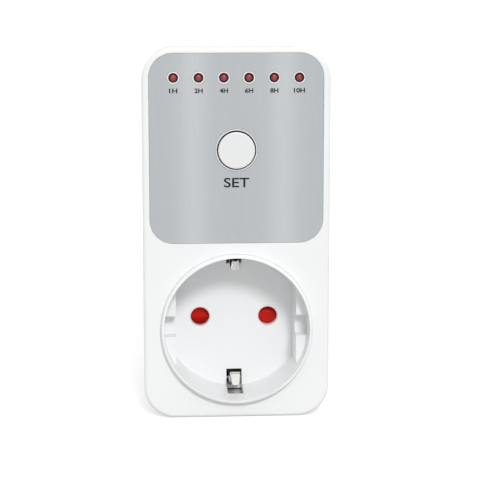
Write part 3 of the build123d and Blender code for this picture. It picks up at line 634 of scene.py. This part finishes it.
red_lamp, lamp_shader, lamp_coordinates = new_material(
    "red_lamp", (0.3, 0.008, 0.01), roughness=0.3)
lamp_shader.inputs["Coat Weight"].default_value = 0.15
lamp_shader.inputs["Coat Roughness"].default_value = 0.25
# Painted shade: the lamp's colour is near black below the dome, where the collar shades it, and
# reaches its own red only at the tip.
painted_shade_to_tip = way_along(red_lamp, lamp_coordinates, "Y",
                        start=-(lamp_tip - lamp_painted_shade_start) * MM,
                        end=-(lamp_tip - lamp_painted_shade_end) * MM)
colour_by(red_lamp, lamp_shader, painted_shade_to_tip,
          (0.0, (0.006, 0.0, 0.0)), (0.62, (0.01, 0.0, 0.0)),
          (0.8, (0.2, 0.007, 0.008)), (1.0, (0.34, 0.022, 0.026)))
frost = add_noise(red_lamp, lamp_coordinates, scale=2600)
vary_roughness(red_lamp, lamp_shader, frost, low=0.28, high=0.42)
add_bump(red_lamp, lamp_shader, frost, depth=0.01, strength=0.3)

lamp_profile = [(lamp_flange, lamp_back), (lamp_flange, lamp_back + lamp_flange_height),
                (lamp_radius, lamp_back + lamp_flange_height)]
for step in range(lamp_dome_steps + 1):
    turn = radians(lamp_dome_turn * step / lamp_dome_steps)
    lamp_profile.append((lamp_radius * cos(turn), lamp_tip - lamp_radius * (1 - sin(turn))))
tree, given, outlet = shape_tree("row of lamps", ["Count", "Pitch"])
step_along = add_node(tree, "ShaderNodeCombineXYZ", {"X": given["Pitch"]})
row = add_node(tree, "GeometryNodeMeshLine", {
    "Count": given["Count"], "Offset": step_along.outputs["Vector"]})
stood = add_node(tree, "GeometryNodeInstanceOnPoints", {
    "Points": row.outputs["Mesh"], "Instance": given["Geometry"]})
end_tree(tree, stood.outputs["Instances"], red_lamp, outlet)
one_lamp = turned("one lamp", lamp_places[0], lamp_profile, lamp_steps)
lamps = grown(tree, "lamp_row", one_lamp,
              {"Count": float(len(lamp_places)), "Pitch": lamp_pitch * MM})
finished(lamps, "lamp_row", red_lamp, lamp_names, crease=35)


# ------------------------------------------------------------------------------
# Set button.  A round cap of slightly greyer plastic in its collar, with a rounded
# rim and a hidden flange that keeps it in, and painted shade on its side within the collar.  It
# bears on the key switch's plunger.
# ------------------------------------------------------------------------------
button_front, button_back = -button_low.y / MM, -button_high.y / MM
button_radius, button_flange, button_flange_height = 4.93, 6.2, 0.9
button_wall, button_stem, button_round, button_rim_steps = 1.3, 1.8, 0.35, 96
button_shade_below, button_unshaded_above = 0.25, 0.45
button_white, button_painted_shade, button_roughness = (0.78, 0.785, 0.79), (0.012, 0.012, 0.013), 0.4

white_button, button_shader, button_coordinates = new_material(
    "white_button", button_white, button_roughness)
# Painted shade: the cap's side is dark within the collar and up to a quarter millimetre in
# front of the face, and fades to the cap's white by 0.45 mm.
out_of_painted_shade = way_along(white_button, button_coordinates, "Y",
                       start=-(face + button_shade_below) * MM,
                       end=-(face + button_unshaded_above) * MM)
colour_by(white_button, button_shader, out_of_painted_shade, (0.0, button_painted_shade), (1.0, button_white))
tool_grain(white_button, button_shader, button_coordinates, button_roughness)

button_profile = [(button_stem, button_back), (button_stem, button_front - button_wall),
                  (button_radius - button_wall, button_front - button_wall),
                  (button_radius - button_wall, button_back), (button_flange, button_back),
                  (button_flange, button_back + button_flange_height),
                  (button_radius, button_back + button_flange_height)]
button_profile += [(button_radius - button_round * (1 - cos(turn)),
                    button_front - button_round * (1 - sin(turn)))
                   for turn in quarter_turn(steps=8)]
finished(turned("button_cap", button_place, button_profile, button_rim_steps), "button_cap",
         white_button, ["set_button"], crease=35)


# ------------------------------------------------------------------------------
# Silver plate.  A thin aluminium sheet with an upright brushed finish and two soft
# bright bands of painted reflection, let into the cover's recess and pierced for the button and
# lamps.
# ------------------------------------------------------------------------------
plate_front, plate_back = -plate_low.y / MM, -plate_high.y / MM
sheet_edge, hole_gap = 0.07, 0.05
plain_silver, painted_reflection_silver = (0.465, 0.49, 0.507), (0.59, 0.61, 0.63)

brushed_panel, panel_shader, panel_coordinates = new_material(
    "brushed_panel", (0.5, 0.52, 0.54), roughness=0.45, metallic=0.2)
# Painted reflection: two soft bright bands across the sheet, fixed in its base colour.
across_plate = way_along(brushed_panel, panel_coordinates, "X",
                         start=-panel_width / 2 * MM, end=panel_width / 2 * MM)
painted_reflection_bands = colour_by(
    brushed_panel, panel_shader, across_plate,
    (0.0, plain_silver), (0.15, plain_silver), (0.25, painted_reflection_silver), (0.36, plain_silver),
    (0.66, plain_silver), (0.77, painted_reflection_silver), (0.87, plain_silver), (1.0, plain_silver))
painted_reflection_bands.color_ramp.interpolation = "B_SPLINE"
strokes = add_noise(brushed_panel, panel_coordinates, scale=5000, detail=4.0,
                    stretch=(1, 1, 0.02))
streak = add_node(brushed_panel.node_tree, "ShaderNodeMix", {"Factor": 0.12},
                  data_type="RGBA", blend_type="MULTIPLY")
mixed_colours = [socket for socket in streak.inputs if socket.type == "RGBA"]
streaked = next(socket for socket in streak.outputs if socket.type == "RGBA")
links = brushed_panel.node_tree.links
links.new(painted_reflection_bands.outputs["Color"], mixed_colours[0])
links.new(strokes, mixed_colours[1])
links.new(streaked, panel_shader.inputs["Base Color"])
vary_roughness(brushed_panel, panel_shader, strokes, low=0.38, high=0.52)
add_bump(brushed_panel, panel_shader, strokes, depth=0.003, strength=0.35)

plate = Form()
rims = [[plate.ring(panel_outline(), plate_back),
         plate.ring(panel_outline(), plate_front - sheet_edge),
         plate.ring(panel_outline(-sheet_edge), plate_front)]]
plate.wall(*rims[0])
pierced = [(button_place, button_collar + hole_gap, button_steps)]
pierced += [(place, lamp_collar + hole_gap, lamp_steps) for place in lamp_places]
for place, hole, steps in pierced:
    rims.append(round_wall(plate, place, [
        (hole, plate_back), (hole, plate_front - sheet_edge), (hole + sheet_edge, plate_front)],
        steps))
plate.cap(*[rings[0] for rings in rims])
plate.cap(*[rings[-1] for rings in rims])
finished(plate.done("silver_plate"), "silver_plate", brushed_panel, ["panel_plate"],
         crease=30)


# ------------------------------------------------------------------------------
# Lettering.  The hours under the lamps and the button's word, printed in black ink
# that stands a hair above the plate.
# ------------------------------------------------------------------------------
black_ink, ink_shader, ink_coordinates = new_material(
    "black_ink", (0.01, 0.01, 0.011), roughness=0.6)
ink_shader.inputs["Specular IOR Level"].default_value = 0.2
tint(black_ink, ink_shader, add_noise(black_ink, ink_coordinates, scale=4000, detail=2.0),
     (0.006, 0.006, 0.007), (0.014, 0.014, 0.015))
ink_height = 0.015
hour_drop, hour_height, hour_width, tens_width, hour_weight = 3.4, 1.25, 2.2, 3.0, 0.03
set_drop, set_height, set_width, set_weight = 8.7, 2.6, 6.8, 0.013


def printed(word, place, width, height, weight):
    """A printed word as a thin mesh on the plate, centred at a place."""
    curve = bpy.data.curves.new("word " + word, "FONT")
    curve.body = word
    curve.size = 1.0
    curve.offset = weight
    curve.extrude = 0.5
    curve.resolution_u = 6
    writing = bpy.data.objects.new("writing", curve)
    bpy.context.scene.collection.objects.link(writing)
    made = writing.evaluated_get(bpy.context.evaluated_depsgraph_get())
    data = bpy.data.meshes.new_from_object(made)
    bpy.data.objects.remove(writing)
    rights, ups = [v.co.x for v in data.vertices], [v.co.y for v in data.vertices]
    stretch = width / (max(rights) - min(rights))
    lift = height / (max(ups) - min(ups))
    middle, waist = (max(rights) + min(rights)) / 2, (max(ups) + min(ups)) / 2
    for vertex in data.vertices:
        right, up, out = vertex.co
        vertex.co = Vector(((place[0] + (right - middle) * stretch) * MM,
                            -(plate_front + (out + curve.extrude) * ink_height) * MM,
                            (place[1] + (up - waist) * lift) * MM))
    return data


words = bmesh.new()
for hour, (x, z) in zip(("1H", "2H", "4H", "6H", "8H", "10H"), lamp_places):
    wide = tens_width if len(hour) > 2 else hour_width
    words.from_mesh(printed(hour, (x, z - hour_drop), wide, hour_height, hour_weight))
set_place = (0, button_place[1] - set_drop)
words.from_mesh(printed("SET", set_place, set_width, set_height, set_weight))
ink_data = bpy.data.meshes.new("printed_words")
words.to_mesh(ink_data)
words.free()
finished(ink_data, "printed_words", black_ink, ["panel_plate"], crease=30,
         stands_for_nodes=False)


# ------------------------------------------------------------------------------
# Screws.  Four long cross-head screws hold the shells together from behind, and
# four short ones hold the boards.  Zinc-plated steel.
# ------------------------------------------------------------------------------
screw_steel = plated_metal("screw_steel", (0.5, 0.5, 0.51), roughness=0.34,
                           drawn=(1, 1, 1))
refinish(screw_steel, "board_screws")

screw_seat = 27.0
head_radius, head_height, head_top, head_slope = 2.6, 1.8, 0.45, -0.12
shank_radius, shank_length, shank_overlap = 1.3, 15.0, 0.1
cross_length, cross_width, cross_depth = 3.1, 0.8, 0.9
tree, given, outlet = shape_tree("cross-head screws", [
    "Head radius", "Head height", "Shank radius", "Shank length",
    "Cross length", "Cross width", "Cross depth"])


def summed(operation, first, second):
    """The result of a sum on two sockets, or on a socket and a number."""
    node = add_node(tree, "ShaderNodeMath", {0: first, 1: second}, operation=operation)
    return node.outputs["Value"]


def moved(geometry, up):
    """Geometry moved along the screw's axis."""
    place = add_node(tree, "ShaderNodeCombineXYZ", {"Z": up})
    node = add_node(tree, "GeometryNodeTransform", {
        "Geometry": geometry, "Translation": place.outputs["Vector"]})
    return node.outputs["Geometry"]


def block(length, width, height):
    """A block with three size sockets."""
    sizes = add_node(tree, "ShaderNodeCombineXYZ", {"X": length, "Y": width, "Z": height})
    node = add_node(tree, "GeometryNodeMeshCube", {"Size": sizes.outputs["Vector"]})
    return node.outputs["Mesh"]


def joined(first, second):
    """Two pieces of geometry as one."""
    node = add_node(tree, "GeometryNodeJoinGeometry", {"Geometry": first})
    tree.links.new(second, node.inputs["Geometry"])
    return node.outputs["Geometry"]


head = add_node(tree, "GeometryNodeMeshCylinder", {
    "Vertices": 40, "Side Segments": 5,
    "Radius": given["Head radius"], "Depth": given["Head height"]})
position = add_node(tree, "GeometryNodeInputPosition").outputs["Position"]
heights = add_node(tree, "ShaderNodeSeparateXYZ", {"Vector": position})
top_ring = add_node(tree, "FunctionNodeCompare", {
    "A": heights.outputs["Z"], "B": summed("MULTIPLY", given["Head height"], head_top)})
inwards = add_node(tree, "ShaderNodeVectorMath", {
    0: position, 1: (head_slope, head_slope, 0)}, operation="MULTIPLY")
softened = add_node(tree, "GeometryNodeSetPosition", {
    "Geometry": head.outputs["Mesh"], "Selection": top_ring.outputs["Result"],
    "Offset": inwards.outputs["Vector"]})

deep = summed("MULTIPLY", given["Cross depth"], 2.0)
bars = joined(block(given["Cross length"], given["Cross width"], deep),
              block(given["Cross width"], given["Cross length"], deep))
half_head = summed("MULTIPLY", given["Head height"], 0.5)
cut = add_node(tree, "GeometryNodeMeshBoolean", {
    "Mesh 1": softened.outputs["Geometry"], "Mesh 2": moved(bars, half_head),
    "Self Intersection": True}, operation="DIFFERENCE", solver="EXACT")
shank = add_node(tree, "GeometryNodeMeshCylinder", {
    "Vertices": 20, "Radius": given["Shank radius"], "Depth": given["Shank length"]})
sunk = summed("ADD", summed("MULTIPLY", given["Shank length"], -0.5), shank_overlap * MM)
whole = joined(moved(cut.outputs["Mesh"], half_head), moved(shank.outputs["Mesh"], sunk))
turned_back = add_node(tree, "GeometryNodeTransform", {
    "Geometry": whole, "Rotation": (radians(-90), 0, 0)})
stood = add_node(tree, "GeometryNodeInstanceOnPoints", {
    "Points": given["Geometry"], "Instance": turned_back.outputs["Geometry"]})
end_tree(tree, stood.outputs["Instances"], screw_steel, outlet)
seats = points_mesh("screw seats", [(x, screw_seat, z) for x, z in boss_places])
screws = grown(tree, "case_screws", seats, {
    "Head radius": head_radius * MM, "Head height": head_height * MM,
    "Shank radius": shank_radius * MM, "Shank length": shank_length * MM,
    "Cross length": cross_length * MM, "Cross width": cross_width * MM,
    "Cross depth": cross_depth * MM})
finished(screws, "case_screws", screw_steel, ["housing_screws"], crease=30)


# ------------------------------------------------------------------------------
# Studio.  A wide pale floor under the timer, a soft sky that is brighter overhead
# and one broad lamp from above and in front.  The camera, the glossy pieces and
# the clear ones see the floor and the sky as white.
# ------------------------------------------------------------------------------
floor_grey, floor_glow, floor_reach, floor_drop = (0.63, 0.63, 0.63), 0.5, 6.0, 0.02
sky_low, sky_high, sky_full_rise = 0.41, 0.88, 0.8
lamp_strength, lamp_spread, lamp_from = 1.47, 12, Vector((0.10, -0.83, 0.545))
camera_lens, camera_film, camera_shift = 116.97, 36.0, -0.044
camera_place, camera_dip, camera_turn = (-0.0229, -0.484, 0.1001), 9.546, -3.525

scene = bpy.context.scene
for left_over in ("Cube", "Light", "Camera"):
    if left_over in bpy.data.objects:
        bpy.data.objects.remove(bpy.data.objects[left_over])


def seen_rays(tree):
    """One for rays that the camera, gloss or clear pieces send, else nought."""
    path = add_node(tree, "ShaderNodeLightPath").outputs
    either = add_node(tree, "ShaderNodeMath", {
        0: path["Is Camera Ray"], 1: path["Is Glossy Ray"]}, operation="MAXIMUM")
    any_ray = add_node(tree, "ShaderNodeMath", {
        0: either.outputs["Value"], 1: path["Is Transmission Ray"]}, operation="MAXIMUM")
    return any_ray.outputs["Value"]


pale_floor, floor_shader = new_material("pale_floor", floor_grey, roughness=0.9)[:2]
floor_shader.inputs["Specular IOR Level"].default_value = 0.0
tree = pale_floor.node_tree
level = add_node(tree, "ShaderNodeMath", {0: seen_rays(tree), 1: floor_glow},
                 operation="MULTIPLY")
glow = add_node(tree, "ShaderNodeEmission", {
    "Color": (1, 1, 1, 1), "Strength": level.outputs["Value"]})
both = add_node(tree, "ShaderNodeAddShader", {
    0: floor_shader.outputs["BSDF"], 1: glow.outputs["Emission"]})
tree.links.new(both.outputs["Shader"], tree.nodes["Material Output"].inputs["Surface"])

ground = cad_box[0].z - floor_drop * MM
floor_data = bpy.data.meshes.new("floor")
floor_data.from_pydata([(x * floor_reach, y * floor_reach, ground)
                        for x, y in ((-1, -1), (1, -1), (1, 1), (-1, 1))], [], [(0, 1, 2, 3)])
floor_data.materials.append(pale_floor)
floor = bpy.data.objects.new("floor", floor_data)
scene.collection.objects.link(floor)

world = bpy.data.worlds.new("soft sky")
scene.world = world
world.use_nodes = True
tree = world.node_tree
background = tree.nodes["Background"]
background.inputs["Color"].default_value = (1, 1, 1, 1)
direction = add_node(tree, "ShaderNodeTexCoord").outputs["Generated"]
rise = add_node(tree, "ShaderNodeSeparateXYZ", {"Vector": direction}).outputs["Z"]
sky_fade = mapped(tree, rise, from_low=0.0, from_high=sky_full_rise,
                  low=sky_low, high=sky_high)
sky_level = mapped(tree, seen_rays(tree), from_low=0.0, from_high=1.0,
                   low=sky_fade, high=1.0)
tree.links.new(sky_level, background.inputs["Strength"])

key = bpy.data.lights.new("broad lamp", "SUN")
key.energy = lamp_strength
key.angle = radians(lamp_spread)
lamp = bpy.data.objects.new("broad lamp", key)
lamp.rotation_euler = lamp_from.to_track_quat("Z", "Y").to_euler()
scene.collection.objects.link(lamp)

camera_data = bpy.data.cameras.new("camera")
camera_data.lens = camera_lens
camera_data.sensor_width = camera_film
camera_data.shift_y = camera_shift
camera_data.clip_start = 0.01
camera = bpy.data.objects.new("camera", camera_data)
camera.location = camera_place
camera.rotation_euler = (radians(90 - camera_dip), 0, radians(camera_turn))
scene.collection.objects.link(camera)
scene.camera = camera
scene.view_settings.view_transform = "Standard"
